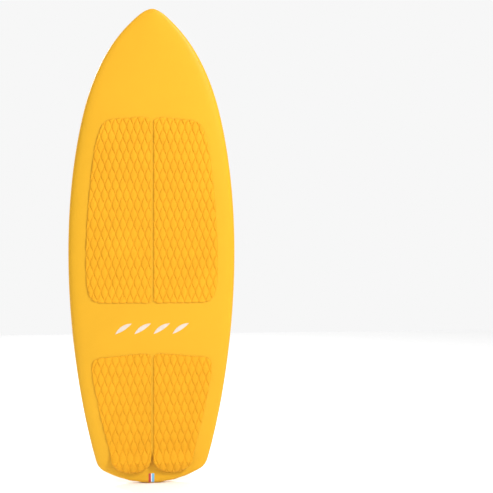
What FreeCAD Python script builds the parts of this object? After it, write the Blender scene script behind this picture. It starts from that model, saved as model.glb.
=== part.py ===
import FreeCAD, Part
import math
import os
import Sketcher
from FreeCAD import Matrix, Placement, Rotation, Vector

# A short surfboard, standing on its tail. Millimetres. +Z runs from the tail to the nose, the deck faces -Y,
# the bottom and its fins face +Y, and +X is to the right when looking at the deck. X = 0 is the centreline.

doc = FreeCAD.newDocument("surfboard")
sheet = doc.addObject("Spreadsheet::Sheet", "sizes")

SIZES = [
    # the board as a whole
    ("board_length", 1422),
    ("bottom_plane", 0),
    ("low_point_height", 620),
    ("tail_rocker", 30),
    ("nose_rocker", 85),
    ("rocker_power", 2.3),
    ("core_thickness", 50),
    ("tail_thinning", 0.46),
    ("nose_thinning", 0.62),
    ("apex_fraction", 0.36),
    ("tail_arc_radius", 309),
    ("tail_corner_sharpness", 22),
    ("end_rounding", 11),
    ("end_land", 0.8),
    # rail section
    ("bottom_tuck", 26),
    ("bottom_fullness", 0.8),
    ("bottom_flat_reach", 0.45),
    ("deck_tuck", 52),
    ("deck_shoulder", 0.62),
    ("deck_crown", 0.80),
    ("deck_peak", 1.01),
    ("deck_flat_reach", 0.5),
    ("tuck_limit", 0.45),
    # laminate and core
    ("skin_thickness", 2.4),
    ("parting_drop", 1),
    ("core_gap", 0.2),
    ("core_end_gap", 9),
    ("stringer_thickness", 4),
    # fin boxes, one size for all five
    ("slot_length", 114.3),
    ("slot_width", 6.7),
    ("slot_depth", 13.2),
    ("rim_wall", 0.8),
    ("box_depth", 17),
    ("box_width", 13),
    ("box_end_wall", 4),
    ("box_front_block", 18),
    ("flange_width", 22),
    ("flange_thickness", 1.6),
    ("flange_sink", 4.6),
    ("flange_rear", 9),
    ("flange_front", 22),
    ("opening_clearance", 0.1),
    ("screw_setback", 9),
    ("screw_boss_radius", 3.7),
    ("screw_boss_rear", 2.9),
    ("screw_boss_front", 0.9),
    ("screw_bridge_rise", 0.9),
    ("screw_bore_radius", 2),
    ("screw_recess_radius", 2.6),
    ("screw_recess_depth", 3.2),
    ("screw_radius", 1.95),
    ("screw_length", 7.6),
    ("screw_start", 2.6),
    ("socket_radius", 1.15),
    ("socket_depth", 2.2),
    ("pocket_clearance", 0.2),
    # fins
    ("tab_clearance", 0.15),
    ("tab_overlap", 1.2),
    ("fin_base_gap", 0.4),
    ("fin_thickness", 6.2),
    ("fin_tip_thinning", 0.72),
    ("fin_thickest_share", 0.4),
    ("fin_tip_chord", 10),
    ("fin_lead_straightness", 0.25),
    ("fin_trail_hollow", 0.13),
    ("fin_trail_power", 2.2),
    ("side_fin_height", 112),
    ("side_fin_overhang", 36),
    ("quad_fin_height", 92),
    ("quad_fin_overhang", -8),
    # fin positions: the middle of each slot, from the centreline and from the tail
    ("side_box_offset", 185),
    ("side_box_height", 329),
    ("side_cant", 3),
    ("side_toe", 1.0),
    ("quad_box_offset", 131.5),
    ("quad_box_height", 160.5),
    ("quad_cant", 2),
    ("quad_toe", 1.0),
    ("centre_box_height", 144.5),
    # traction pads
    ("film_thickness", 0.5),
    ("film_gap", 0.15),
    ("pad_thickness", 3.5),
    ("kick_start", 103),
    ("kick_crest", 67),
    ("kick_end", 34),
    ("kick_rise", 19),
    ("kick_end_rise", 8),
    ("kick_start_rise", 0.6),
    # stripes and emblems
    ("layer_gap", 0.05),
    ("stripe_thickness", 0.3),
    ("stripe_gap", 0.1),
    ("stripe_start", 2),
    ("pad_lobe_middle", 60),
    ("emblem_room", 60),
    ("stripe_deck_reach", 30),
    ("stripe_bottom_reach", 38),
    ("emblem_thickness", 0.2),
    ("emblem_gap", 0.05),
    ("emblem_height", 466),
    ("leaf_pitch", 57.5),
    ("leaf_length", 49.5),
    ("leaf_rise", 32),
    ("leaf_bulge", 9),
    ("leaf_hollow", 4),
]

# Half-width of the board against the distance from the tail, along one side.
OUTLINE = [
    ("foot", 0, 148),
    ("hip", 75, 171.5),
    ("fins", 189, 200),
    ("pad", 369, 231),
    ("hips", 550, 248.5),
    ("wide", 700, 253),
    ("chest", 880, 245),
    ("shoulder", 1060, 219),
    ("temple", 1210, 176.5),
    ("brow", 1330, 111),
    ("tip", 1391, 55),
]

# The pads' plan outlines on the right side: distance from the centreline and from the tail, from the inner
# edge's nose end, round the outside, to the inner edge's tail end.
PAD_OUTLINES = {
    "front_pad": [
        (3.75, 1089), (6.5, 1096.5), (14, 1100.5), (68, 1100), (95, 1098.6), (118, 1096.3), (132, 1092.8),
        (144, 1085.5), (152.5, 1073), (159, 1057), (164.5, 1040), (169.7, 1021), (176.3, 984), (185, 912),
        (191.5, 840), (196, 778), (198.4, 719), (199.2, 660), (197.7, 613), (194, 583), (188.4, 565.4),
        (180, 554.5), (168.4, 547.6), (145, 544.8), (97, 544), (27, 543.4), (12, 543.8), (6.3, 547),
        (3.75, 554),
    ],
    "rear_pad": [
        (3.75, 378), (6.5, 385.5), (14, 389.5), (43, 389.5), (73, 387), (102, 383.8), (132, 381),
        (158, 378.2), (170.5, 374), (178, 366.5), (181, 354), (181, 339), (179, 319), (176.3, 301),
        (172.5, 282), (166, 254.5), (160.5, 228), (154.5, 199), (147.5, 172), (140, 143), (132.5, 116),
        (127.5, 96), (124, 81.5), (119.5, 65.5), (110.5, 52), (98.5, 42), (84, 36.5), (66, 34), (48.5, 35.5),
        (31.5, 40), (21.5, 45.5), (12.5, 53.5), (6, 64), (3.75, 78),
    ],
}

row = 1
for alias, value in SIZES:
    sheet.set(f"A{row}", alias.replace("_", " "))
    sheet.set(f"B{row}", str(value))
    sheet.setAlias(f"B{row}", alias)
    row += 1
for label, height, half_width in OUTLINE:
    sheet.set(f"A{row}", f"outline at the {label}: height, half-width")
    sheet.set(f"B{row}", str(height))
    sheet.setAlias(f"B{row}", f"outline_{label}_height")
    sheet.set(f"C{row}", str(half_width))
    sheet.setAlias(f"C{row}", f"outline_{label}_half_width")
    row += 1
for pad_name, corners in PAD_OUTLINES.items():
    for index, (across, height) in enumerate(corners):
        sheet.set(f"A{row}", f"{pad_name} outline point {index}: from the centreline, from the tail")
        sheet.set(f"B{row}", str(across))
        sheet.setAlias(f"B{row}", f"{pad_name}_{index}_across")
        sheet.set(f"C{row}", str(height))
        sheet.setAlias(f"C{row}", f"{pad_name}_{index}_height")
        row += 1
doc.recompute()


def size(alias):
    """The number in the sheet's cell of that name."""
    return float(sheet.get(alias))


LENGTH = size("board_length")
FIN_SIDES = [("left", -1), ("right", 1)]

# Reaches of the shapes that cut the hull, well past its surfaces: a Y in front of the whole deck, the lengths
# of prisms through the deck and through the board, and the depth of a block that is only taken away.
FRONT_Y = -220
THROUGH_DECK = 240
THROUGH_BOARD = 300
DEEP = 12


# ---------------------------------------------------------------- hull lines

def side_curve():
    """One smooth curve up one side of the board, round the nose tip and down the other side, in XZ."""
    side = []
    for label, _height, _half_width in OUTLINE:
        height = size(f"outline_{label}_height")
        side.append(Vector(size(f"outline_{label}_half_width"), 0, height))
    nose = Vector(0, 0, LENGTH)
    other = [Vector(-point.x, 0, point.z) for point in reversed(side)]
    curve = Part.BSplineCurve()
    curve.interpolate(side + [nose] + other)
    return curve


SIDE = side_curve()


def side_half_width(height):
    """Half-width of the side curve at a height, found by halving the first half of its parameters."""
    low, high = SIDE.FirstParameter, (SIDE.FirstParameter + SIDE.LastParameter) / 2
    for _ in range(50):
        middle = (low + high) / 2
        if SIDE.value(middle).z < height:
            low = middle
        else:
            high = middle
    return SIDE.value(low).x


def half_width(height):
    """Half-width of the board: the side curve, closed at the tail by an arc with rounded corners."""
    side = side_half_width(height)
    radius = size("tail_arc_radius")
    if height >= radius:
        return side
    arc = math.sqrt(height * (2 * radius - height))
    sharpness = size("tail_corner_sharpness")
    return side / (1 + (side / max(arc, 1e-6)) ** sharpness) ** (1 / sharpness)


def along(height):
    """How far a height is from the low point towards the end on its side, from 0 to 1, and which end."""
    low_point = size("low_point_height")
    if height < low_point:
        return (low_point - height) / low_point, "tail"
    return (height - low_point) / (LENGTH - low_point), "nose"


def thickness(height):
    """Thickness on the centreline, before the ends are rounded off."""
    share, end = along(height)
    return size("core_thickness") * (1 - size(f"{end}_thinning") * share ** size("rocker_power"))


def apex_line(height):
    """Y of the rail's outermost line, where the bottom curve meets the deck curve."""
    share, end = along(height)
    rocker = size(f"{end}_rocker") * share ** size("rocker_power")
    return size("bottom_plane") - rocker - size("apex_fraction") * thickness(height)


def end_factor(height):
    """Rounds both ends off: 1 along the board, falling to 0 at its very ends as a quarter circle does."""
    nearest = min(height, LENGTH - height)
    share = min(max(nearest, 0) / size("end_rounding"), 1)
    return math.sqrt(1 - (1 - share) ** 2)


def resized(value, grow):
    """A size grown outwards, or shrunk inwards without ever reaching zero."""
    if grow >= 0:
        return value + grow
    return math.hypot(value, grow) + grow


def section(height, grow):
    """The section at a height: half-width, apex Y, depth below the apex line and depth above it."""
    land = size("end_land")
    inside = min(max(height, land), LENGTH - land)
    whole = thickness(inside) * end_factor(inside)
    below = resized(whole * size("apex_fraction"), grow)
    above = resized(whole * (1 - size("apex_fraction")), grow)
    return resized(half_width(inside), grow), apex_line(height), below, above


def rail_curve(height, grow, side):
    """The bottom or the deck curve of a section, from the left rail apex to the right one."""
    half, apex, below, above = section(height, grow)
    tuck = min(size(f"{side}_tuck"), size("tuck_limit") * half)
    if side == "bottom":
        rises = [0, size("bottom_fullness") * below, below, below]
    else:
        rises = [0, -size("deck_shoulder") * above, -size("deck_crown") * above, -size("deck_peak") * above]
    reaches = [half, half, half - tuck, size(f"{side}_flat_reach") * (half - tuck)]
    left = [Vector(-reach, apex + rise, height) for reach, rise in zip(reaches, rises)]
    right = [Vector(-pole.x, pole.y, pole.z) for pole in reversed(left)]
    curve = Part.BSplineCurve()
    curve.buildFromPolesMultsKnots(left + right, [4, 1, 1, 1, 1, 4], [0, 1, 2, 3, 4, 5], False, 3)
    return curve


def edge(start, end):
    """A straight edge."""
    return Part.LineSegment(start, end).toShape()


def whole_wire(height, grow):
    """A closed section of the whole hull."""
    bottom = rail_curve(height, grow, "bottom")
    deck = rail_curve(height, grow, "deck")
    deck.reverse()
    return Part.Wire([bottom.toShape(), deck.toShape()])


def half_wire(height, grow, side, overlap):
    """A closed section of one side of the hull, carried past the apex line by an overlap."""
    curve = rail_curve(height, grow, side)
    left, right = curve.StartPoint, curve.EndPoint
    if overlap == 0:
        return Part.Wire([curve.toShape(), edge(right, left)])
    past = Vector(0, -overlap if side == "bottom" else overlap, 0)
    return Part.Wire([
        curve.toShape(),
        edge(right, right + past),
        edge(right + past, left + past),
        edge(left + past, left),
    ])


def heights_between(low, high):
    """Section heights, close together where the outline turns quickly."""
    from_tail = [3, 6, 10, 16, 24, 33, 43, 56, 75, 105, 150, 215, 300, 400, 500, 600]
    from_nose = [3, 6, 10, 17, 28, 44, 68, 100, 145, 205, 280, 370, 470, 580, 690]
    heights = from_tail + [LENGTH - step for step in reversed(from_nose)]
    inside = [height for height in heights if low + 2 < height < high - 2]
    return [low] + inside + [high]


def block(grow, low, high, side, overlap=6):
    """A closed solid under one surface, grown or shrunk, between two heights."""
    wires = [half_wire(height, grow, side, overlap) for height in heights_between(low, high)]
    return Part.makeLoft(wires, True, False)


def hull(grow, end_gap):
    """The whole hull, grown or shrunk, with flat ends a gap inside the tail and the nose."""
    wires = [whole_wire(height, grow) for height in heights_between(end_gap, LENGTH - end_gap)]
    return Part.makeLoft(wires, True, False)


def surface_y(across, height, side, grow=0):
    """Y of the bottom or the deck at a point of the board's plan."""
    curve = rail_curve(height, grow, side)
    low, high = curve.FirstParameter, curve.LastParameter
    for _ in range(50):
        middle = (low + high) / 2
        if curve.value(middle).x < across:
            low = middle
        else:
            high = middle
    return curve.value(low).y


# ---------------------------------------------------------------- document helpers

nodes = {}


def keep(item, label):
    """Gives a finished sub-part its name and lists it for export."""
    item.Label = label
    nodes[label] = item
    return item


def shaped(label, shape):
    """A sub-part whose shape follows the hull's lines."""
    item = doc.addObject("Part::Feature", label)
    item.Shape = shape
    item.Placement = Placement()
    return keep(item, label)


def box_placement(offset, height, cant, toe):
    """Where a fin box stands on the bottom: its X towards the nose, its Z out of the board."""
    step = 40
    rise = surface_y(offset, height + step, "bottom") - surface_y(offset, height - step, "bottom")
    forward = Vector(0, rise / (2 * step), 1).normalize()
    outward = Vector(0, 1, -rise / (2 * step)).normalize()
    across = outward.cross(forward)
    side = 1 if offset > 0 else -1
    turned = Rotation(outward, -side * toe if offset else 0)
    leaned = Rotation(forward, -side * cant if offset else 0)
    turn = leaned.multiply(turned)
    base = Matrix()
    for column, axis in enumerate([turn.multVec(forward), turn.multVec(across), turn.multVec(outward)]):
        for line, number in enumerate([axis.x, axis.y, axis.z]):
            setattr(base, f"A{line + 1}{column + 1}", number)
    place = Placement(base)
    place.Base = Vector(offset, surface_y(offset, height, "bottom"), height)
    return place


BOXES = {"centre": box_placement(0, size("centre_box_height"), 0, 0)}
for side_name, sign in FIN_SIDES:
    for pair in ("side", "quad"):
        BOXES[f"{side_name}_{pair}"] = box_placement(
            sign * size(f"{pair}_box_offset"),
            size(f"{pair}_box_height"),
            size(f"{pair}_cant"),
            size(f"{pair}_toe"),
        )
FITTED = [name for name in BOXES if name != "centre"]


# ---------------------------------------------------------------- fin boxes

def origin_plane(body, role):
    """One of a body's own origin planes."""
    return [item for item in body.Origin.OriginFeatures if item.Role == role][0]


def sketch_on(body, name, role, lift):
    """A sketch on one of the body's origin planes, lifted off it by an expression."""
    sketch = body.newObject("Sketcher::SketchObject", name)
    sketch.AttachmentSupport = [(origin_plane(body, role), "")]
    sketch.MapMode = "FlatFace"
    if lift:
        sketch.setExpression("AttachmentOffset.Base.z", lift)
    return sketch


def stadium(sketch, rear, front, radius):
    """A long hole or bar with round ends, its end centres on the sketch's X axis, all three sizes bound."""
    sketch.addGeometry(Part.ArcOfCircle(
        Part.Circle(Vector(-60, 0, 0), Vector(0, 0, 1), 5), math.pi / 2, 3 * math.pi / 2), False)
    sketch.addGeometry(Part.LineSegment(Vector(-60, -5, 0), Vector(60, -5, 0)), False)
    sketch.addGeometry(Part.ArcOfCircle(
        Part.Circle(Vector(60, 0, 0), Vector(0, 0, 1), 5), -math.pi / 2, math.pi / 2), False)
    sketch.addGeometry(Part.LineSegment(Vector(60, 5, 0), Vector(-60, 5, 0)), False)
    sketch.addConstraint(Sketcher.Constraint("Tangent", 0, 2, 1, 1))
    sketch.addConstraint(Sketcher.Constraint("Tangent", 1, 2, 2, 1))
    sketch.addConstraint(Sketcher.Constraint("Tangent", 2, 2, 3, 1))
    sketch.addConstraint(Sketcher.Constraint("Tangent", 3, 2, 0, 1))
    sketch.addConstraint(Sketcher.Constraint("Equal", 0, 2))
    sketch.addConstraint(Sketcher.Constraint("PointOnObject", 0, 3, -1))
    sketch.addConstraint(Sketcher.Constraint("PointOnObject", 2, 3, -1))
    for name, geometry, start, expression in (("rear", 0, -60, rear), ("front", 2, 60, front)):
        index = sketch.addConstraint(Sketcher.Constraint("DistanceX", -1, 1, geometry, 3, start))
        sketch.renameConstraint(index, name)
        sketch.setExpression(f"Constraints.{name}", expression)
    index = sketch.addConstraint(Sketcher.Constraint("Radius", 0, 5))
    sketch.renameConstraint(index, "round")
    sketch.setExpression("Constraints.round", radius)


def padded(body, sketch, name, length):
    """A pad out of a sketch, with its length bound."""
    pad = body.newObject("PartDesign::Pad", name)
    pad.Profile = sketch
    pad.setExpression("Length", length)
    sketch.Visibility = False
    return pad


def screw_bore(body, tag):
    """The stepped bore for the grub screw, leaning at 45 degrees into the front wall of the slot."""
    sketch = body.newObject("Sketcher::SketchObject", f"bore_profile_{tag}")
    sketch.AttachmentSupport = [(origin_plane(body, "XZ_Plane"), "")]
    sketch.MapMode = "FlatFace"
    mouth = Vector(size("slot_length") / 2 + size("screw_setback"), 0, 0)
    inward = Vector(-1, -1, 0).normalize()
    square = Vector(-1, 1, 0).normalize()
    reach = size("screw_setback") * math.sqrt(2)
    small, large = size("screw_bore_radius"), size("screw_recess_radius")
    recess = size("screw_recess_depth")
    before, beyond = -4, reach + 3
    outline = [(before, 0), (before, large), (recess, large), (recess, small),
               (reach - recess, small), (reach - recess, large), (beyond, large), (beyond, 0)]
    corners = [mouth + inward * depth + square * radius for depth, radius in outline]
    for start, end in zip(corners, corners[1:] + corners[:1]):
        sketch.addGeometry(Part.LineSegment(start, end), False)
    count = len(corners)
    for index in range(count):
        sketch.addConstraint(Sketcher.Constraint("Coincident", index, 2, (index + 1) % count, 1))
        sketch.addConstraint(Sketcher.Constraint("Block", index))
    sketch.addGeometry(Part.LineSegment(corners[0], corners[-1]), True)
    groove = body.newObject("PartDesign::Groove", f"bore_{tag}")
    groove.Profile = sketch
    groove.ReferenceAxis = (sketch, ["Axis0"])
    groove.Angle = 360
    sketch.Visibility = False
    return groove


def fin_box(name):
    """One moulded fin box: buried body and flange, rim, screw boss with its bridge, slot and bore."""
    body = doc.addObject("PartDesign::Body", f"box_{name}")
    half_slot = "sizes.slot_length / 2"
    round_end = "sizes.slot_width / 2"

    shell = sketch_on(body, f"shell_{name}", "XY_Plane", "-sizes.box_depth")
    stadium(shell, f"-{half_slot} - sizes.box_end_wall + sizes.box_width / 2",
            f"{half_slot} + sizes.box_front_block - sizes.box_width / 2", "sizes.box_width / 2")
    padded(body, shell, f"shell_pad_{name}", "sizes.box_depth - sizes.flange_sink")

    flange = sketch_on(body, f"flange_{name}", "XY_Plane", "-sizes.flange_sink - sizes.flange_thickness")
    stadium(flange, f"-{half_slot} - sizes.flange_rear + sizes.flange_width / 2",
            f"{half_slot} + sizes.flange_front - sizes.flange_width / 2", "sizes.flange_width / 2")
    padded(body, flange, f"flange_pad_{name}", "sizes.flange_thickness")

    rim = sketch_on(body, f"rim_{name}", "XY_Plane", "-sizes.flange_sink - 0.5")
    stadium(rim, f"-{half_slot} + {round_end}", f"{half_slot} - {round_end}",
            f"{round_end} + sizes.rim_wall")
    padded(body, rim, f"rim_pad_{name}", "sizes.flange_sink + 0.5")

    boss = sketch_on(body, f"boss_{name}", "XY_Plane", "-sizes.flange_sink - 0.5")
    screw_centre = f"{half_slot} + sizes.screw_setback"
    stadium(boss, f"{screw_centre} - sizes.screw_boss_rear", f"{screw_centre} + sizes.screw_boss_front",
            "sizes.screw_boss_radius")
    padded(body, boss, f"boss_pad_{name}", "sizes.flange_sink + 0.5")

    bridge = sketch_on(body, f"bridge_{name}", "XY_Plane", "-sizes.flange_sink - 0.5")
    stadium(bridge, f"{half_slot} - {round_end}", screw_centre, "sizes.screw_boss_radius")
    padded(body, bridge, f"bridge_pad_{name}", "sizes.screw_bridge_rise + 0.5")

    mouth = sketch_on(body, f"slot_{name}", "XY_Plane", None)
    stadium(mouth, f"-{half_slot} + {round_end}", f"{half_slot} - {round_end}", round_end)
    slot = body.newObject("PartDesign::Pocket", f"slot_cut_{name}")
    slot.Profile = mouth
    slot.setExpression("Length", "sizes.slot_depth")
    mouth.Visibility = False

    screw_bore(body, name)
    body.Placement = BOXES[name]
    return keep(body, f"{name}_fin_box")


for box_name in BOXES:
    fin_box(box_name)
doc.recompute()


# ---------------------------------------------------------------- grub screws

def bound_cylinder(name, radius, length):
    """A cylinder with both sizes bound to the sheet."""
    item = doc.addObject("Part::Cylinder", name)
    item.setExpression("Radius", radius)
    item.setExpression("Height", length)
    return item


def grub_screw(name):
    """A headless screw with a hexagon socket, standing in the leaning bore of its box."""
    blank = bound_cylinder(f"screw_blank_{name}", "sizes.screw_radius", "sizes.screw_length")
    socket = doc.addObject("Part::Prism", f"screw_socket_{name}")
    socket.Polygon = 6
    socket.setExpression("Circumradius", "sizes.socket_radius")
    socket.setExpression("Height", "sizes.socket_depth + 1")
    socket.setExpression("Placement.Base.z", "sizes.screw_length - sizes.socket_depth")
    screw = doc.addObject("Part::Cut", f"screw_{name}")
    screw.Base = blank
    screw.Tool = socket
    lean = Rotation(Vector(0, 1, 0), 45)
    tip = size("screw_start") + size("screw_length")
    mouth = Vector(size("slot_length") / 2 + size("screw_setback"), 0, 0)
    foot = mouth - lean.multVec(Vector(0, 0, tip))
    screw.Placement = BOXES[name].multiply(Placement(foot, lean))
    return keep(screw, f"{name}_fin_screw")


for box_name in FITTED:
    grub_screw(box_name)


# ---------------------------------------------------------------- fins

def foil_section(level, overhang, lift):
    """A lens-shaped slice of a fin at a level from 0 at the base to 1 at the tip."""
    base = size("slot_length") - 2 * size("tab_clearance")
    front = base / 2
    straight = size("fin_lead_straightness")
    sweep = straight * level + (1 - straight) * level ** 2
    lead = front - (base + overhang - size("fin_tip_chord")) * sweep
    hollow = size("fin_trail_hollow") * base * math.sin(math.pi * level)
    trail = -front - overhang * level ** size("fin_trail_power") + hollow
    thick = size("fin_thickness") * (1 - size("fin_tip_thinning") * level)
    middle = lead + (trail - lead) * size("fin_thickest_share")
    start, end = Vector(lead, 0, lift), Vector(trail, 0, lift)
    one = Part.Arc(start, Vector(middle, thick / 2, lift), end).toShape()
    other = Part.Arc(end, Vector(middle, -thick / 2, lift), start).toShape()
    return Part.Wire([one, other])


def foil(height, overhang):
    """The swept blade of a fin, lofted through lens-shaped slices."""
    base_gap = size("fin_base_gap")
    slices = []
    for level in (0, 0.15, 0.3, 0.45, 0.6, 0.75, 0.87, 0.95, 1):
        slices.append(foil_section(level, overhang, base_gap + level * (height - base_gap)))
    return Part.makeLoft(slices, True, False)


def fin(name, pair):
    """A fin: its blade, and the tab that stands in the slot."""
    height, overhang = size(f"{pair}_fin_height"), size(f"{pair}_fin_overhang")
    blade = doc.addObject("Part::Feature", f"blade_{name}")
    blade.Shape = foil(height, overhang)
    tab_height = "sizes.slot_depth - 2 * sizes.fin_base_gap + sizes.tab_overlap"
    tab = doc.addObject("Part::Box", f"tab_{name}")
    tab.setExpression("Length", "sizes.slot_length - sizes.slot_width")
    tab.setExpression("Width", "sizes.slot_width - 2 * sizes.tab_clearance")
    tab.setExpression("Height", tab_height)
    tab.setExpression("Placement.Base.x", "-(sizes.slot_length - sizes.slot_width) / 2")
    tab.setExpression("Placement.Base.y", "-(sizes.slot_width - 2 * sizes.tab_clearance) / 2")
    tab.setExpression("Placement.Base.z", "-sizes.slot_depth + sizes.fin_base_gap")
    ends = []
    for label, sense in (("rear", "-"), ("front", "")):
        tip = bound_cylinder(f"tab_{label}_{name}", "sizes.slot_width / 2 - sizes.tab_clearance", tab_height)
        tip.setExpression("Placement.Base.x", f"{sense}(sizes.slot_length - sizes.slot_width) / 2")
        tip.setExpression("Placement.Base.z", "-sizes.slot_depth + sizes.fin_base_gap")
        ends.append(tip)
    joined = doc.addObject("Part::MultiFuse", f"fin_{name}")
    joined.Shapes = [blade, tab] + ends
    joined.Placement = BOXES[name]
    return keep(joined, f"{name}_fin")


for box_name in FITTED:
    fin(box_name, box_name.split("_")[1])
doc.recompute()


# ---------------------------------------------------------------- core, stringer and skins

def prism(points, low, high):
    """A prism along Y over a closed plan outline of (X, Z) points, between two Y values."""
    corners = [Vector(x, low, z) for x, z in points]
    face = Part.Face(Part.makePolygon(corners + corners[:1]))
    return face.extrude(Vector(0, high - low, 0))


def stadium_solid(rear, front, radius, low, high):
    """A round-ended bar in a fin box's own frame."""
    middle = Part.makeBox(front - rear, 2 * radius, high - low, Vector(rear, -radius, low))
    ends = [Part.makeCylinder(radius, high - low, Vector(x, 0, low)) for x in (rear, front)]
    return middle.fuse(ends).removeSplitter()


def box_void(name):
    """The space a buried fin box takes out of the core, with a little clearance."""
    clear = size("pocket_clearance")
    half_slot = size("slot_length") / 2
    top = -size("flange_sink")
    half_shell = size("box_width") / 2
    shell = stadium_solid(
        -half_slot - size("box_end_wall") + half_shell, half_slot + size("box_front_block") - half_shell,
        half_shell + clear, -size("box_depth") - clear, top + 6)
    half_flange = size("flange_width") / 2
    flange = stadium_solid(
        -half_slot - size("flange_rear") + half_flange, half_slot + size("flange_front") - half_flange,
        half_flange + clear, top - size("flange_thickness") - clear, top + 6)
    void = shell.fuse(flange)
    void.Placement = BOXES[name]
    return void


def skin_opening(name):
    """The space that a box's rim and screw boss take out of the bottom skin."""
    clear = size("opening_clearance")
    half_slot = size("slot_length") / 2
    end = half_slot - size("slot_width") / 2
    rim = stadium_solid(-end, end, size("slot_width") / 2 + size("rim_wall") + clear, -8, 8)
    screw_centre = half_slot + size("screw_setback")
    boss = stadium_solid(
        screw_centre - size("screw_boss_rear"), screw_centre + size("screw_boss_front"),
        size("screw_boss_radius") + clear, -8, 8)
    opening = rim.fuse(boss)
    opening.Placement = BOXES[name]
    return opening


def below_parting():
    """Everything on the bottom side of the line where the two skins meet, just below the rail apex."""
    heights = [-20] + heights_between(0, LENGTH)[1:-1:3] + [LENGTH + 20]
    line = Part.BSplineCurve()
    line.interpolate([Vector(-300, apex_line(height) + size("parting_drop"), height) for height in heights])
    start, end = line.StartPoint, line.EndPoint
    far = Vector(0, 120, 0)
    sides = [edge(end, end + far), edge(end + far, start + far), edge(start + far, start)]
    return Part.Face(Part.Wire([line.toShape()] + sides)).extrude(Vector(600, 0, 0))


skin = size("skin_thickness")
laminate = hull(0, 0).cut(hull(-skin, size("core_end_gap")))
underside = below_parting()
shaped("bottom_skin", laminate.common(underside).cut([skin_opening(name) for name in BOXES]))
shaped("deck_skin", laminate.cut(underside))

core = hull(-skin - size("core_gap"), size("core_end_gap"))
voids = [box_void(name) for name in BOXES]
half_gap = size("stringer_thickness") / 2
for side_name, sign in FIN_SIDES:
    far = sign * 300
    near = sign * (half_gap + size("core_gap"))
    room = prism([(near, 0), (far, 0), (far, LENGTH), (near, LENGTH)], -200, 50)
    shaped(f"core_{side_name}", core.common(room).cut(voids))
room = prism([(-half_gap, 0), (half_gap, 0), (half_gap, LENGTH), (-half_gap, LENGTH)], -200, 50)
shaped("stringer", core.common(room).cut(voids[:1]))


# ---------------------------------------------------------------- traction pads

def pad_prism(name):
    """A prism through the deck over one right pad's plan outline."""
    corners = []
    for index in range(len(PAD_OUTLINES[name])):
        across, height = size(f"{name}_{index}_across"), size(f"{name}_{index}_height")
        corners.append(Vector(across, FRONT_Y, height))
    outside = Part.BSplineCurve()
    outside.interpolate(corners)
    wire = Part.Wire([outside.toShape(), edge(corners[-1], corners[0])])
    return Part.Face(wire).extrude(Vector(0, THROUGH_DECK, 0))


def mirrored(shape):
    """The same shape on the other side of the centreline."""
    return shape.mirror(Vector(0, 0, 0), Vector(1, 0, 0))


def kick_profile():
    """The kick wedge's side view, in the YZ plane, as a prism across the board."""
    top = size("film_gap") + size("film_thickness") + size("pad_thickness")
    outer = []
    for place, rise in (("start", "start_rise"), ("crest", "rise"), ("end", "end_rise")):
        height = size(f"kick_{place}")
        pad_y = surface_y(size("pad_lobe_middle"), height, "deck", top)
        outer.append(Vector(-300, pad_y - size(f"kick_{rise}"), height))
    inner = [Vector(-300, apex_line(size(alias)), size(alias)) for alias in ("kick_end", "kick_start")]
    face = Part.Face(Part.makePolygon(outer + inner + outer[:1]))
    return face.extrude(Vector(600, 0, 0))


def pad_layers(name, low, high):
    """The film and the foam of one pad on the right side of the board."""
    outline = pad_prism(name)
    start = size("film_gap")
    film_top = start + size("film_thickness")
    film_base = block(start, low - 4, high + 4, "deck", DEEP)
    film = block(film_top, low, high, "deck").common(outline).cut(film_base)
    foam_base = block(film_top + size("layer_gap"), low - 4, high + 4, "deck", DEEP)
    foam = block(film_top + size("pad_thickness"), low, high, "deck").common(outline).cut(foam_base)
    return film, foam


front_film, front_foam = pad_layers("front_pad", 520, 1120)
rear_film, rear_foam = pad_layers("rear_pad", 18, 410)
wedge_base = size("film_gap") + size("film_thickness") + size("pad_thickness") + size("layer_gap")
wedge = kick_profile().common(pad_prism("rear_pad")).cut(block(wedge_base, 10, 130, "deck", DEEP))

for label, right_shape in (
    ("front_pad", front_foam),
    ("front_pad_film", front_film),
    ("rear_pad", rear_foam),
    ("rear_pad_film", rear_film),
    ("kick_wedge", wedge),
):
    shaped(f"{label}_right", right_shape)
    shaped(f"{label}_left", mirrored(right_shape))


# ---------------------------------------------------------------- tail stripes

def stripe_prism(offset, left, right):
    """The board's lengthwise profile at the centreline, moved outwards and made as wide as a stripe."""
    profile = hull(offset, -offset).slice(Vector(1, 0, 0), 0)[0]
    prism = Part.Face(profile).extrude(Vector(right - left, 0, 0))
    prism.translate(Vector(left, 0, 0))
    return prism


def tail_stripe(left, right):
    """A painted band on the tail's deck side and bottom side, a little off the skin."""
    gap = size("stripe_gap")
    outer = stripe_prism(gap + size("stripe_thickness"), left, right)
    inner = stripe_prism(gap, left, right)
    apex, deep, start = apex_line(0), 100, size("stripe_start")
    halves = []
    for low, reach in ((apex - deep, size("stripe_deck_reach")), (apex, size("stripe_bottom_reach"))):
        room = Part.makeBox(right - left, deep, reach - start, Vector(left, low, start))
        halves.append(outer.common(room).cut(inner.common(room)))
    return Part.makeCompound(halves)


STRIPES = [("red", -11.0, -4.0), ("white", -3.9, -1.1), ("blue", -1.0, 6.0)]
for colour, left_edge, right_edge in STRIPES:
    shaped(f"tail_stripe_{colour}", tail_stripe(left_edge, right_edge))


# ---------------------------------------------------------------- emblems

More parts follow.
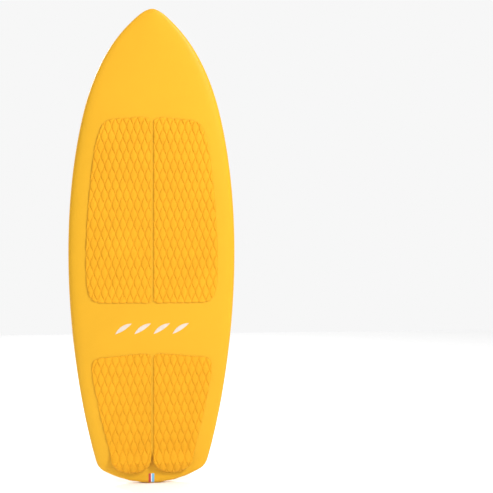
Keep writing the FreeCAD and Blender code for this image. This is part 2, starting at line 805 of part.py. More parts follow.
def leaf_faces():
    """A row of four slim leaning leaves, a plain ornament, as closed faces in front of the deck."""
    pitch, rise = size("leaf_pitch"), size("leaf_rise")
    lean = Vector(size("leaf_length"), 0, rise)
    square = Vector(-rise, 0, size("leaf_length")).normalize()
    faces = []
    for place in (-1.5, -0.5, 0.5, 1.5):
        middle = Vector(place * pitch, FRONT_Y, size("emblem_height"))
        start, end = middle - lean * 0.5, middle + lean * 0.5
        above = Part.Arc(start, middle + square * size("leaf_bulge"), end).toShape()
        below = Part.Arc(end, middle - square * size("leaf_hollow"), start).toShape()
        faces.append(Part.Face(Part.Wire([above, below])))
    return faces


def emblem(side):
    """The ornament as a thin layer on the deck or on the bottom."""
    low, high = size("emblem_height") - size("emblem_room"), size("emblem_height") + size("emblem_room")
    gap = size("emblem_gap")
    layer = block(gap + size("emblem_thickness"), low, high, side)
    inside = block(gap, low - 4, high + 4, side, DEEP)
    pieces = []
    for face in leaf_faces():
        column = face.extrude(Vector(0, THROUGH_BOARD, 0))
        pieces.append(layer.common(column).cut(inside))
    return Part.makeCompound(pieces)


shaped("deck_emblem", emblem("deck"))
shaped("bottom_emblem", emblem("bottom"))
doc.recompute()


# ---------------------------------------------------------------- checks and export

for item in doc.Objects:
    for state in item.State:
        if state in ("Invalid", "Error"):
            raise RuntimeError(f"{item.Name} is {state}")
for label, item in nodes.items():
    if item.Shape.isNull() or not item.Shape.isValid() or not item.Shape.Solids:
        raise RuntimeError(f"{label} has no valid solid")

os.makedirs("parts", exist_ok=True)
for label, item in nodes.items():
    item.Shape.exportStep(f"parts/{label}.step")
    limits = item.Shape.BoundBox
    print(f"{label}: {len(item.Shape.Solids)} solid, {item.Shape.Volume / 1000:.1f} cm3,"
          f" X {limits.XMin:.1f} {limits.XMax:.1f}, Y {limits.YMin:.1f} {limits.YMax:.1f},"
          f" Z {limits.ZMin:.1f} {limits.ZMax:.1f}")
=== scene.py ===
import math

import bmesh
import bpy
import numpy as np
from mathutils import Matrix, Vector
from mathutils.bvhtree import BVHTree


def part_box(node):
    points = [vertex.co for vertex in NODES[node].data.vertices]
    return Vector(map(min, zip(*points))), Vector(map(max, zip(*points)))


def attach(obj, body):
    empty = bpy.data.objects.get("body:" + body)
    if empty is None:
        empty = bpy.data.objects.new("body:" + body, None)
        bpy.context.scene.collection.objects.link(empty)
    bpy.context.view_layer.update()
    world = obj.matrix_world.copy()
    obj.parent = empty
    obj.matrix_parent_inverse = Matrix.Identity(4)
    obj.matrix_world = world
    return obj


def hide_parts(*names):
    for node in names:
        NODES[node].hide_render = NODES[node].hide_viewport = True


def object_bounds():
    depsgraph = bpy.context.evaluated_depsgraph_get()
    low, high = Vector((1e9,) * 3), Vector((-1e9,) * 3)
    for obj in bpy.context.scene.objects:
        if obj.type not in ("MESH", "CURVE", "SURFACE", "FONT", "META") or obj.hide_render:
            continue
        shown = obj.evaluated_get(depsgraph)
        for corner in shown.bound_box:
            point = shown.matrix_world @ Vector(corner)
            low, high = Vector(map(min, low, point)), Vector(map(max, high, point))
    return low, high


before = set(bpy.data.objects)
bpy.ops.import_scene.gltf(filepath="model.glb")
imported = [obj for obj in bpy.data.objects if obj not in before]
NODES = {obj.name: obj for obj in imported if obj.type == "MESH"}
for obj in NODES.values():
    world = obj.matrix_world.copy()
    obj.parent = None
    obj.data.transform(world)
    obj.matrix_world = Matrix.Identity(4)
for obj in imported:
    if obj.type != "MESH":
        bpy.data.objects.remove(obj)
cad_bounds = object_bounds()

# Looks for the surfboard. Metres, in the CAD frame: +Z from tail to nose, the deck faces -Y, the bottom +Y.

MM = 0.001
BOARD = "board"
SIDES = {"left": -1, "right": 1}
PAIRS = ("side", "quad")

# Traction foam: leaf-shaped cells between mirrored wavy grooves.
CELL_WIDTH = 21.8 * MM
CELL_HEIGHT = 58.5 * MM
CELL_START = 21.5 * MM
WAVE_SHARE = 0.90
GROOVE_STEEP_WIDTH = 1.0 * MM
GROOVE_GENTLE_WIDTH = 3.0 * MM
GROOVE_DEPTH = 2.2 * MM
PILLOW = 0.45 * MM
ROW_STEP = 3.4 * MM
EDGE_DROP = 1.5 * MM
EDGE_SNAP = 0.5 * MM
STRIP_STEPS = (0.0, 0.05, 0.12, 0.25, 0.5, 0.75, 0.88, 0.95)
PAD_LIFT = 0.65 * MM
PAD_HEIGHT = 3.5 * MM
PAD_INNER_EDGE = 3.75 * MM
SLOPE_STEP = 1.0 * MM
MERGE_DISTANCE = 0.02 * MM
SLIVER_LENGTH = 0.01 * MM

# Kick: the raised wedge at the tail end of each rear pad. Heights up the board, then its rise off the pad.
KICK_START = 103.0 * MM
KICK_CREST = 67.0 * MM
KICK_END = 34.0 * MM
KICK_RISE = 19.0 * MM
KICK_END_RISE = 8.0 * MM
KICK_RISE_POWER = 1.8
KICK_FALL_POWER = 1.15


# ---------------------------------------------------------------- material helpers

def new_material(name):
    """A new node material, with its tree and its shader."""
    material = bpy.data.materials.new(name)
    material.use_nodes = True
    tree = material.node_tree
    return material, tree, tree.nodes["Principled BSDF"]


def set_shader(tree, shader, **inputs):
    """Sets the shader's inputs by name: an output is linked, and a number is set on the socket."""
    for name, value in inputs.items():
        socket = shader.inputs[name.replace("_", " ")]
        if isinstance(value, bpy.types.NodeSocket):
            tree.links.new(value, socket)
        else:
            socket.default_value = value


def node(tree, kind, **inputs):
    """A node with some inputs set by name."""
    made = tree.nodes.new(kind)
    for name, value in inputs.items():
        made.inputs[name.replace("_", " ")].default_value = value
    return made


def place_texture(tree, texture, stretch=(1, 1, 1)):
    """Feeds a texture with object coordinates in metres, stretched if asked."""
    coordinates = tree.nodes.new("ShaderNodeTexCoord")
    mapping = tree.nodes.new("ShaderNodeMapping")
    mapping.inputs["Scale"].default_value = stretch
    tree.links.new(coordinates.outputs["Object"], mapping.inputs["Vector"])
    tree.links.new(mapping.outputs["Vector"], texture.inputs["Vector"])


def noise(tree, scale, detail=3.0, roughness=0.5, stretch=(1, 1, 1)):
    """The value of a noise texture in object space."""
    texture = node(tree, "ShaderNodeTexNoise", Scale=scale, Detail=detail, Roughness=roughness)
    place_texture(tree, texture, stretch)
    return texture.outputs["Fac"]


def cells(tree, scale):
    """The distance to the nearest cell centre, in object space."""
    texture = node(tree, "ShaderNodeTexVoronoi", Scale=scale)
    place_texture(tree, texture)
    return texture.outputs["Distance"]


def ramp(tree, factor, stops):
    """A colour ramp over a factor output."""
    made = tree.nodes.new("ShaderNodeValToRGB")
    made.color_ramp.elements[0].position = stops[0][0]
    made.color_ramp.elements[0].color = (*stops[0][1], 1)
    made.color_ramp.elements[1].position = stops[-1][0]
    made.color_ramp.elements[1].color = (*stops[-1][1], 1)
    for position, colour in stops[1:-1]:
        element = made.color_ramp.elements.new(position)
        element.color = (*colour, 1)
    tree.links.new(factor, made.inputs["Fac"])
    return made.outputs["Color"]


def number_range(tree, value, low, high, from_low=0.0, from_high=1.0):
    """A number mapped to another range."""
    made = tree.nodes.new("ShaderNodeMapRange")
    made.inputs["From Min"].default_value = from_low
    made.inputs["From Max"].default_value = from_high
    made.inputs["To Min"].default_value = low
    made.inputs["To Max"].default_value = high
    tree.links.new(value, made.inputs["Value"])
    return made.outputs["Result"]


def colour_mix(tree, first, second, blend="MIX"):
    """A mix of two colour outputs. Its factor is still to be set or linked."""
    made = tree.nodes.new("ShaderNodeMix")
    made.data_type = "RGBA"
    made.blend_type = blend
    tree.links.new(first, made.inputs["A"])
    tree.links.new(second, made.inputs["B"])
    return made


def bump(tree, height, distance, strength=1.0, below=None):
    """A bump from a height output, over an earlier bump if one is given."""
    made = node(tree, "ShaderNodeBump", Strength=strength, Distance=distance)
    tree.links.new(height, made.inputs["Height"])
    if below is not None:
        tree.links.new(below, made.inputs["Normal"])
    return made.outputs["Normal"]


def tinted(colour, factor):
    """A colour made lighter or darker."""
    return tuple(min(1.0, channel * factor) for channel in colour)


# ---------------------------------------------------------------- materials

PAINT = (0.625, 0.325, 0.016)
FOAM_DARK = (0.61, 0.275, 0.007)
FOAM_MIDDLE = (0.65, 0.30, 0.009)
FOAM_LIGHT = (0.68, 0.32, 0.012)
GLUE_DARK = (0.60, 0.285, 0.012)
GLUE_LIGHT = (0.63, 0.30, 0.014)
BOX_SHADE = (0.74, 0.78, 0.82)
BOX_LIGHT = (0.80, 0.84, 0.87)
# Screw steel colours: near-black, a dark finish plus painted shade for the deep screw hole.
STEEL_AND_HOLE_SHADE_DARK = (0.045, 0.045, 0.05)
STEEL_AND_HOLE_SHADE_LIGHT = (0.10, 0.10, 0.105)
BEAD_MIDDLE = (0.80, 0.80, 0.78)
BEAD_EDGE = (0.92, 0.92, 0.90)
WOOD_DARK = (0.42, 0.26, 0.13)
WOOD_LIGHT = (0.62, 0.43, 0.25)
STRIPE_RED = (0.44, 0.030, 0.018)
STRIPE_WHITE = (0.72, 0.70, 0.72)
STRIPE_BLUE = (0.13, 0.42, 0.68)
EMBLEM_CREAM = (0.58, 0.495, 0.41)
SIDE_FIN_INNER = (0.58, 0.030, 0.010)
SIDE_FIN_OUTER = (0.64, 0.62, 0.60)
QUAD_FIN_INNER = (0.64, 0.57, 0.51)
QUAD_FIN_OUTER = (0.66, 0.63, 0.60)

# How square to the centreline a fin's surface is where its inner colour begins and where it is full.
INNER_COLOUR_START = 0.88
INNER_COLOUR_FULL = 0.955


def board_paint():
    """Satin yellow over the laminate: a faint mottle, long sanding marks and a little orange peel."""
    material, tree, shader = new_material("board paint")
    sanding = noise(tree, scale=60.0, detail=5.0, roughness=0.6, stretch=(6, 6, 0.35))
    peel = noise(tree, scale=420.0, detail=2.0)
    marks = bump(tree, sanding, distance=0.12 * MM, strength=0.35)
    set_shader(
        tree, shader,
        Base_Color=ramp(tree, noise(tree, scale=5.0, detail=4.0), [
            (0.25, tinted(PAINT, 0.965)), (0.5, PAINT), (0.75, tinted(PAINT, 1.02))]),
        Roughness=number_range(tree, sanding, low=0.34, high=0.50),
        Specular_IOR_Level=0.12,
        Coat_Weight=0.02,
        Coat_Roughness=0.32,
        Normal=bump(tree, peel, distance=0.08 * MM, strength=0.5, below=marks))
    return material


def traction_foam():
    """Matte EVA foam: warm yellow, pebbled skin, fine closed cells and a little soiling."""
    material, tree, shader = new_material("traction foam")
    broad = noise(tree, scale=11.0, detail=5.0)
    colour = ramp(tree, broad, [(0.2, FOAM_DARK), (0.5, FOAM_MIDDLE), (0.8, FOAM_LIGHT)])
    fine = noise(tree, scale=900.0, detail=2.0)
    speckle = number_range(tree, fine, low=0.93, high=1.05, from_low=0.3, from_high=0.7)
    speckled = colour_mix(tree, colour, speckle, blend="MULTIPLY")
    speckled.inputs["Factor"].default_value = 1.0
    pebbles = bump(tree, cells(tree, scale=750.0), distance=0.25 * MM, strength=0.45)
    set_shader(
        tree, shader,
        Base_Color=speckled.outputs["Result"],
        Roughness=number_range(tree, broad, low=0.72, high=0.86),
        Specular_IOR_Level=0.18,
        Sheen_Weight=0.03,
        Sheen_Roughness=0.5,
        Normal=bump(tree, fine, distance=0.2 * MM, strength=0.35, below=pebbles))
    return material


def gloss_print(name, colour):
    """A printed stripe or mark under a thin gloss, with a slightly uneven print."""
    material, tree, shader = new_material(name)
    mottle = noise(tree, scale=90.0)
    grain = noise(tree, scale=1200.0, detail=2.0)
    set_shader(
        tree, shader,
        Base_Color=ramp(tree, mottle, [(0.3, tinted(colour, 0.94)), (0.7, tinted(colour, 1.03))]),
        Roughness=number_range(tree, mottle, low=0.30, high=0.42),
        Normal=bump(tree, grain, distance=0.04 * MM, strength=0.4))
    return material


def fin_resin(name, inward, inner_colour, outer_colour, inner_share):
    """Cast fin resin: one colour on the face towards the centreline, white outside and along the edges."""
    material, tree, shader = new_material(name)
    coordinates = tree.nodes.new("ShaderNodeTexCoord")
    split = tree.nodes.new("ShaderNodeSeparateXYZ")
    tree.links.new(coordinates.outputs["Normal"], split.inputs["Vector"])
    facing = number_range(
        tree, split.outputs["X"], low=0.0, high=inner_share,
        from_low=inward * INNER_COLOUR_START, from_high=inward * INNER_COLOUR_FULL)
    cloud = noise(tree, scale=24.0, detail=4.0, roughness=0.6, stretch=(1, 1, 0.5))
    inner = ramp(tree, cloud, [
        (0.3, tinted(inner_colour, 0.78)), (0.52, inner_colour), (0.72, tinted(inner_colour, 1.25))])
    outer = ramp(tree, cloud, [(0.3, tinted(outer_colour, 0.96)), (0.7, outer_colour)])
    faces = colour_mix(tree, outer, inner)
    tree.links.new(facing, faces.inputs["Factor"])
    scratches = noise(tree, scale=130.0, detail=4.0, roughness=0.6, stretch=(1, 5, 0.4))
    set_shader(
        tree, shader,
        Base_Color=faces.outputs["Result"],
        Roughness=number_range(tree, scratches, low=0.20, high=0.36),
        Coat_Weight=0.12,
        Coat_Roughness=0.15,
        Normal=bump(tree, scratches, distance=0.08 * MM, strength=0.25))
    return material


def box_plastic():
    """Moulded fin box plastic: a cool off-white with a fine grain."""
    material, tree, shader = new_material("fin box plastic")
    mottle = noise(tree, scale=150.0)
    grain = noise(tree, scale=1500.0, detail=2.0)
    set_shader(
        tree, shader,
        Base_Color=ramp(tree, mottle, [(0.3, BOX_SHADE), (0.7, BOX_LIGHT)]),
        Roughness=number_range(tree, mottle, low=0.38, high=0.52),
        Normal=bump(tree, grain, distance=0.06 * MM, strength=0.5))
    return material


def screw_steel_and_hole_shade():
    """Near-black steel with fine turning marks: the near-black is the screw's dark finish and also painted
    shade for the deep screw hole.
    """
    material, tree, shader = new_material("screw steel and hole shade")
    marks = noise(tree, scale=900.0, detail=4.0, roughness=0.6)
    set_shader(
        tree, shader,
        # Near-black base colour: partly the steel's dark finish, partly painted shade down in the screw
        # hole.
        Base_Color=ramp(tree, marks, [(0.3, STEEL_AND_HOLE_SHADE_DARK), (0.7, STEEL_AND_HOLE_SHADE_LIGHT)]),
        Metallic=1.0,
        Roughness=number_range(tree, marks, low=0.32, high=0.50),
        Normal=bump(tree, marks, distance=0.05 * MM, strength=0.4))
    return material


def foam_core():
    """Expanded bead foam, white, hidden inside."""
    material, tree, shader = new_material("bead foam")
    beads = cells(tree, scale=260.0)
    set_shader(
        tree, shader,
        Base_Color=ramp(tree, beads, [(0.0, BEAD_MIDDLE), (0.6, BEAD_EDGE)]),
        Roughness=0.9,
        Normal=bump(tree, beads, distance=0.8 * MM, strength=0.6))
    return material


def plywood():
    """Thin plywood with grain along the board, hidden inside."""
    material, tree, shader = new_material("plywood")
    grain = noise(tree, scale=40.0, detail=6.0, roughness=0.65, stretch=(1, 6, 0.25))
    set_shader(
        tree, shader,
        Base_Color=ramp(tree, grain, [(0.3, WOOD_DARK), (0.7, WOOD_LIGHT)]),
        Roughness=0.6,
        Normal=bump(tree, grain, distance=0.3 * MM, strength=0.4))
    return material


def adhesive():
    """The thin glue film under the pads."""
    material, tree, shader = new_material("adhesive film")
    waves = noise(tree, scale=70.0)
    set_shader(
        tree, shader,
        Base_Color=ramp(tree, waves, [(0.3, GLUE_DARK), (0.7, GLUE_LIGHT)]),
        Roughness=0.55,
        Normal=bump(tree, waves, distance=0.1 * MM, strength=0.4))
    return material


def dress(name, material):
    """Gives a CAD node's slots a material."""
    mesh = NODES[name].data
    if not mesh.materials:
        mesh.materials.append(material)
    for index in range(len(mesh.materials)):
        mesh.materials[index] = material


def dress_fins(side, sign):
    """The resin of one side's two fins, whose inner faces look back at the centreline."""
    dress(f"{side}_side_fin", fin_resin(
        f"{side} side fin", -sign, SIDE_FIN_INNER, SIDE_FIN_OUTER, inner_share=1.0))
    dress(f"{side}_quad_fin", fin_resin(
        f"{side} quad fin", -sign, QUAD_FIN_INNER, QUAD_FIN_OUTER, inner_share=0.5))


def dress_cad_nodes(traction):
    """Materials for every CAD node."""
    paint, foam, glue = board_paint(), foam_core(), adhesive()
    white_box, steel = box_plastic(), screw_steel_and_hole_shade()
    dress("bottom_skin", paint)
    dress("deck_skin", paint)
    dress("stringer", plywood())
    dress("centre_fin_box", white_box)
    dress("tail_stripe_red", gloss_print("stripe red", STRIPE_RED))
    dress("tail_stripe_white", gloss_print("stripe white", STRIPE_WHITE))
    dress("tail_stripe_blue", gloss_print("stripe blue", STRIPE_BLUE))
    cream = gloss_print("emblem cream", EMBLEM_CREAM)
    dress("deck_emblem", cream)
    dress("bottom_emblem", cream)
    for side, sign in SIDES.items():
        dress(f"core_{side}", foam)
        for pad in ("front_pad", "rear_pad"):
            dress(f"{pad}_{side}", traction)
            dress(f"{pad}_film_{side}", glue)
        dress(f"kick_wedge_{side}", traction)
        for pair in PAIRS:
            dress(f"{side}_{pair}_fin_box", white_box)
            dress(f"{side}_{pair}_fin_screw", steel)
        dress_fins(side, sign)


# ---------------------------------------------------------------- the deck's surface

class Deck:
    """The deck's height over its plan, sampled from the CAD skin and smoothed."""

    STEP = 8.0 * MM
    SIDE_MARGIN = 30.0 * MM
    TAIL_MARGIN = 12.0 * MM
    NOSE_MARGIN = 28.0 * MM
    RAY_HEIGHT = 100.0 * MM
    FILL_ROUNDS = 200
    CUBIC_MARGIN = 2.001

    def __init__(self):
        skin = NODES["deck_skin"]
        tree = BVHTree.FromObject(skin, bpy.context.evaluated_depsgraph_get())
        low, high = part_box("deck_skin")
        self.x0, self.z0 = low[0] + self.SIDE_MARGIN, low[2] + self.TAIL_MARGIN
        self.across = int((high[0] - low[0] - 2 * self.SIDE_MARGIN) / self.STEP)
        self.along = int((high[2] - low[2] - self.TAIL_MARGIN - self.NOSE_MARGIN) / self.STEP)
        grid = np.full((self.across, self.along), np.nan)
        for i in range(self.across):
            for j in range(self.along):
                x, z = self.x0 + i * self.STEP, self.z0 + j * self.STEP
                hit = tree.ray_cast(Vector((x, low[1] - self.RAY_HEIGHT, z)), Vector((0, 1, 0)))[0]
                if hit is not None:
                    grid[i, j] = hit.y
        self.grid = self.smoothed(self.filled(grid))

    def filled(self, grid):
        """The grid with its empty corners filled from their nearest neighbours."""
        for _ in range(self.FILL_ROUNDS):
            empty = np.isnan(grid)
            if not empty.any():
                break
            padded = np.pad(grid, 1, constant_values=np.nan)
            around = np.stack([padded[:-2, 1:-1], padded[2:, 1:-1], padded[1:-1, :-2], padded[1:-1, 2:]])
            known = ~np.isnan(around)
            total = np.where(known, around, 0).sum(axis=0)
            count = known.sum(axis=0)
            fresh = empty & (count > 0)
            grid[fresh] = total[fresh] / count[fresh]
        return grid

    @staticmethod
    def smoothed(grid):
        """The grid after one light blur each way."""
        padded = np.pad(grid, 1, mode="edge")
        grid = (padded[:-2, 1:-1] + 2 * padded[1:-1, 1:-1] + padded[2:, 1:-1]) / 4
        padded = np.pad(grid, 1, mode="edge")
        return (padded[1:-1, :-2] + 2 * padded[1:-1, 1:-1] + padded[1:-1, 2:]) / 4

    def y(self, x, z):
        """The deck's Y at arrays of X and Z, by a smooth cubic between the samples."""
        fx = np.clip((x - self.x0) / self.STEP, 1, self.across - self.CUBIC_MARGIN)
        fz = np.clip((z - self.z0) / self.STEP, 1, self.along - self.CUBIC_MARGIN)
        ix, iz = np.floor(fx).astype(int), np.floor(fz).astype(int)
        wx, wz = self.weights(fx - ix), self.weights(fz - iz)
        total = np.zeros(np.shape(fx))
        for a in range(4):
            for b in range(4):
                total = total + wx[a] * wz[b] * self.grid[ix + a - 1, iz + b - 1]
        return total

    @staticmethod
    def weights(t):
        """Catmull-Rom weights."""
        return (
            ((-t + 2) * t - 1) * t / 2,
            ((3 * t - 5) * t * t + 2) / 2,
            ((-3 * t + 4) * t + 1) * t / 2,
            (t - 1) * t * t / 2,
        )


# ---------------------------------------------------------------- a pad's outline

WALL_TILT = 0.3
OUTLINE_DIGITS = 5
SHORTEST_SQUARED = 1e-14


def node_outline(name):
    """A CAD pad's plan outline on the right side, from the corners of its upright walls, in order."""
    mesh = NODES[name].data
    corners = set()
    for face in mesh.polygons:
        if abs(face.normal.y) < WALL_TILT:
            for index in face.vertices:
                place = mesh.vertices[index].co
                corners.add((round(abs(place.x), OUTLINE_DIGITS), round(place.z, OUTLINE_DIGITS)))
    points = np.array(sorted(corners))
    centre = (points.min(axis=0) + points.max(axis=0)) / 2
    stretched = (points - centre) / (points.max(axis=0) - points.min(axis=0))
    angle = np.arctan2(stretched[:, 1], stretched[:, 0])
    return points[np.argsort(angle)]


def sides_of(polygon):
    """The start and end of each side of a closed polygon."""
    return zip(polygon, np.roll(polygon, -1, axis=0))


def inside(polygon, x, z):
    """Which points are inside a closed polygon."""
    result = np.zeros(x.shape, bool)
    for (x1, z1), (x2, z2) in sides_of(polygon):
        if z1 == z2:
            continue
        crosses = ((z1 > z) != (z2 > z)) & (x < (x2 - x1) * (z - z1) / (z2 - z1) + x1)
        result ^= crosses
    return result


def nearest_on(polygon, x, z):
    """The nearest points of a closed polygon, and their distances."""
    best = np.full(x.shape, np.inf)
    px, pz = x.copy(), z.copy()
    for (x1, z1), (x2, z2) in sides_of(polygon):
        dx, dz = x2 - x1, z2 - z1
        length_squared = dx * dx + dz * dz
        if length_squared < SHORTEST_SQUARED:
            continue
        t = np.clip(((x - x1) * dx + (z - z1) * dz) / length_squared, 0, 1)
        qx, qz = x1 + t * dx, z1 + t * dz
        distance = np.hypot(x - qx, z - qz)
        closer = distance < best
        best = np.where(closer, distance, best)
        px, pz = np.where(closer, qx, px), np.where(closer, qz, pz)
    return px, pz, best


# ---------------------------------------------------------------- a pad's relief

def groove_x(index, z, sign):
    """X of one wavy groove, from the centreline. Neighbours wave in mirror image and nearly meet at each
    crossing. The pattern runs on unbroken from the left pads to the right pads."""
    wave = WAVE_SHARE * CELL_WIDTH / 4 * np.cos(2 * math.pi * (z - CELL_START) / CELL_HEIGHT)
    return sign * (PAD_INNER_EDGE + np.where(index % 2 == 0, wave, -wave)) + index * CELL_WIDTH / 2


def relief(share, gap, slope, sign):
    """Height over the cell's rim. A cell falls steeply to the groove at its left, gently at its right."""
    distance = np.minimum(share, 1 - share) * gap / np.sqrt(1 + slope * slope)
    at_left = (share - 0.5) * sign < 0
    width = np.where(at_left, GROOVE_STEEP_WIDTH, GROOVE_GENTLE_WIDTH)
    groove = np.exp(-(distance / width) ** 2)
    dome = PILLOW * 4 * share * (1 - share) * np.clip(gap / CELL_WIDTH, 0, 1)
    return dome - GROOVE_DEPTH * groove


def kick(z):
    """Extra height of the kick at a distance from the tail."""
    rising = np.clip((KICK_START - z) / (KICK_START - KICK_CREST), 0, 1)
    falling = np.clip((KICK_CREST - z) / (KICK_CREST - KICK_END), 0, 1)
    drop = (KICK_RISE - KICK_END_RISE) * falling ** KICK_FALL_POWER
    return KICK_RISE * rising ** KICK_RISE_POWER - drop


def pad_grid(polygon, sign):
    """The warped grid that covers an outline: X, Z, share across the strip, strip gap and groove slope."""
    low, high = polygon.min(axis=0), polygon.max(axis=0)
    rows = int(math.ceil((high[1] - low[1]) / ROW_STEP)) + 3
    z = low[1] - ROW_STEP + np.arange(rows) * ROW_STEP
    strips = int(math.ceil(high[0] / (CELL_WIDTH / 2))) + 3
    columns_x, shares, gaps, slopes = [], [], [], []
    for strip in range(-2, strips):
        left, right = groove_x(strip, z, sign), groove_x(strip + 1, z, sign)
        slope = (groove_x(strip, z + SLOPE_STEP, sign) - left) / SLOPE_STEP
        for share in STRIP_STEPS:
            columns_x.append(left + (right - left) * share)
            shares.append(np.full(rows, share))
            gaps.append(right - left)
            slopes.append(slope)
    x = np.array(columns_x)
    return x, np.broadcast_to(z, x.shape).copy(), np.array(shares), np.array(gaps), np.array(slopes)


# ---------------------------------------------------------------- a pad's mesh

def kept_quads(at_edge):
    """The grid's quads with a corner inside the outline, and which grid points they use."""
    columns, rows = at_edge.shape
    used = np.zeros(at_edge.shape, bool)
    quads = []
    for i in range(columns - 1):
        for j in range(rows - 1):
            corners = [(i, j), (i + 1, j), (i + 1, j + 1), (i, j + 1)]
            if all(at_edge[corner] for corner in corners):
                continue
            quads.append(corners)
            for corner in corners:
                used[corner] = True
    return quads, used


def closed_faces(quads, used):
    """Faces of the top, of the underside below it, and of the wall that joins their borders."""
    count = int(used.sum())
    number = np.full(used.shape, -1)
    number[used] = np.arange(count)
    faces, edges = [], {}
    for corners in quads:
        ring = [int(number[corner]) for corner in corners]
        faces.append(ring)
        faces.append([count + vertex for vertex in reversed(ring)])
        edges.update(dict.fromkeys(zip(ring, ring[1:] + ring[:1])))
    for first, second in edges:
        if (second, first) not in edges:
            faces.append([second, first, count + first, count + second])
    return faces


def smooth_mesh(name, points, faces):
    """A smooth mesh with its doubled points merged and its normals outward."""
    mesh = bpy.data.meshes.new(name)
    mesh.from_pydata(points.tolist(), [], faces)
    shell = bmesh.new()
    shell.from_mesh(mesh)
    bmesh.ops.remove_doubles(shell, verts=shell.verts, dist=MERGE_DISTANCE)
    bmesh.ops.dissolve_degenerate(shell, edges=shell.edges, dist=SLIVER_LENGTH)
    bmesh.ops.recalc_face_normals(shell, faces=shell.faces)
    shell.to_mesh(mesh)
    shell.free()
    mesh.shade_smooth()
    return mesh


def pad_mesh(name, deck, sign, outline_node, with_kick):
    """A closed pad that lies on the deck, cut to its CAD node's outline."""
    polygon = node_outline(outline_node)
    x, z, share, gap, slope = pad_grid(polygon, sign)
    px, pz, distance = nearest_on(polygon, x, z)
    at_edge = ~inside(polygon, x, z) | (distance < EDGE_SNAP)
    x, z = np.where(at_edge, px, x), np.where(at_edge, pz, z)
    height = PAD_HEIGHT - PILLOW + relief(share, gap, slope, sign)
    if with_kick:
        height = height + kick(z)
    height = height - np.where(at_edge, EDGE_DROP, 0)
    base = deck.y(x * sign, z) - PAD_LIFT
    top = base - height
    quads, used = kept_quads(at_edge)
    over = np.stack([x[used] * sign, top[used], z[used]], axis=1)
    under = np.stack([x[used] * sign, base[used], z[used]], axis=1)
    return smooth_mesh(name, np.concatenate([over, under]), closed_faces(quads, used))


def build_pad(name, deck, sign, material, nodes, with_kick=False):
    """One traction pad, which stands for one or more CAD nodes. The first has its outline."""
    mesh = pad_mesh(name, deck, sign, nodes[0], with_kick)
    mesh.materials.append(material)
    piece = bpy.data.objects.new(name, mesh)
    bpy.context.scene.collection.objects.link(piece)
    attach(piece, BOARD)
    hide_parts(*nodes)


def build_pads(material):
    """The four traction pads."""
    deck = Deck()
    for side, sign in SIDES.items():
        build_pad(f"traction_front_{side}", deck, sign, material, [f"front_pad_{side}"])
        build_pad(
            f"traction_rear_{side}", deck, sign, material, [f"rear_pad_{side}", f"kick_wedge_{side}"],
            with_kick=True)


# ---------------------------------------------------------------- stage, lights and camera

FLOOR_COLOUR = (0.97, 0.97, 0.97)
FLOOR_REACH = 4.5
FLOOR_GAP = 0.5 * MM

AIM = (0, 0, 0.7)
LAMP_WIDTH = 0.7
FILL_WIDTH = 2.6

SKY_STRENGTH = 0.93
SKY_SIDE_STRENGTH = 0.45
SKY_SIDE_START = 0.42
SKY_SIDE_END = 0.85

CAMERA_DISTANCE = 2.7
CAMERA_HEIGHT = 0.715
CAMERA_TURN = math.radians(6.18)
CAMERA_SENSOR = 36.0
CAMERA_LENS_RATIO = 1.7655
CAMERA_FAR_END = 100.0


def floor_material():
    """A plain pale matte surface."""
    material, tree, shader = new_material("floor")
    set_shader(tree, shader, Base_Color=(*FLOOR_COLOUR, 1), Roughness=0.9, Specular_IOR_Level=0.2)
    return material


def build_stage():
    """A wide pale floor under the tail."""
    mesh = bpy.data.meshes.new("floor")
    corners = [
        (-FLOOR_REACH, -FLOOR_REACH, 0), (FLOOR_REACH, -FLOOR_REACH, 0),
        (FLOOR_REACH, FLOOR_REACH, 0), (-FLOOR_REACH, FLOOR_REACH, 0)]
    mesh.from_pydata(corners, [], [(0, 1, 2, 3)])
    mesh.materials.append(floor_material())
    floor = bpy.data.objects.new("floor", mesh)
    bpy.context.scene.collection.objects.link(floor)
    floor.location.z = cad_bounds[0][2] - FLOOR_GAP


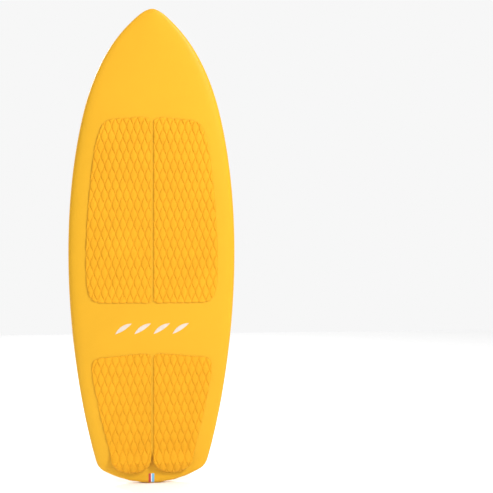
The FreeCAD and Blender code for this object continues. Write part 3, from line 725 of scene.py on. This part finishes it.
def area_light(name, place, width, power):
    """A square soft white light at a place, turned to the board's middle."""
    light = bpy.data.lights.new(name, "AREA")
    light.shape = "SQUARE"
    light.size = width
    light.energy = power
    lamp = bpy.data.objects.new(name, light)
    lamp.location = place
    direction = Vector(AIM) - Vector(place)
    lamp.rotation_euler = direction.to_track_quat("-Z", "Y").to_euler()
    bpy.context.scene.collection.objects.link(lamp)


def build_lights():
    """A key from the upper right for the deck, another for the bottom, and a weak fill for each."""
    area_light("key", place=(2.1, -2.35, 2.75), width=LAMP_WIDTH, power=123)
    area_light("fill", place=(-1.2, -3.8, 1.8), width=FILL_WIDTH, power=4)
    area_light("back", place=(-2.3, 2.1, 2.7), width=LAMP_WIDTH, power=118)
    area_light("back_fill", place=(2.6, 2.8, 1.0), width=FILL_WIDTH, power=6)


def build_sky():
    """A white sky in front, behind and above, darker to the left and right like flags beside the board."""
    world = bpy.data.worlds.new("studio")
    world.use_nodes = True
    tree = world.node_tree
    direction = tree.nodes.new("ShaderNodeTexCoord")
    split = tree.nodes.new("ShaderNodeSeparateXYZ")
    sideways = tree.nodes.new("ShaderNodeMath")
    sideways.operation = "ABSOLUTE"
    tree.links.new(direction.outputs["Generated"], split.inputs["Vector"])
    tree.links.new(split.outputs["X"], sideways.inputs[0])
    strength = number_range(
        tree, sideways.outputs["Value"], low=SKY_STRENGTH, high=SKY_SIDE_STRENGTH,
        from_low=SKY_SIDE_START, from_high=SKY_SIDE_END)
    tree.links.new(strength, tree.nodes["Background"].inputs["Strength"])
    tree.nodes["Background"].inputs["Color"].default_value = (1, 1, 1, 1)
    bpy.context.scene.world = world


def build_camera():
    """A camera square to the deck, turned a little so the board stands in the left of a square picture."""
    camera_data = bpy.data.cameras.new("camera")
    camera_data.sensor_width = CAMERA_SENSOR
    camera_data.lens = CAMERA_SENSOR * CAMERA_LENS_RATIO
    camera_data.clip_end = CAMERA_FAR_END
    camera = bpy.data.objects.new("camera", camera_data)
    camera.location = (0, -CAMERA_DISTANCE, CAMERA_HEIGHT)
    camera.rotation_euler = (math.pi / 2, 0, -CAMERA_TURN)
    bpy.context.scene.collection.objects.link(camera)
    bpy.context.scene.camera = camera
    bpy.context.scene.view_settings.view_transform = "Standard"


traction = traction_foam()
dress_cad_nodes(traction)
build_pads(traction)
build_stage()
build_lights()
build_sky()
build_camera()
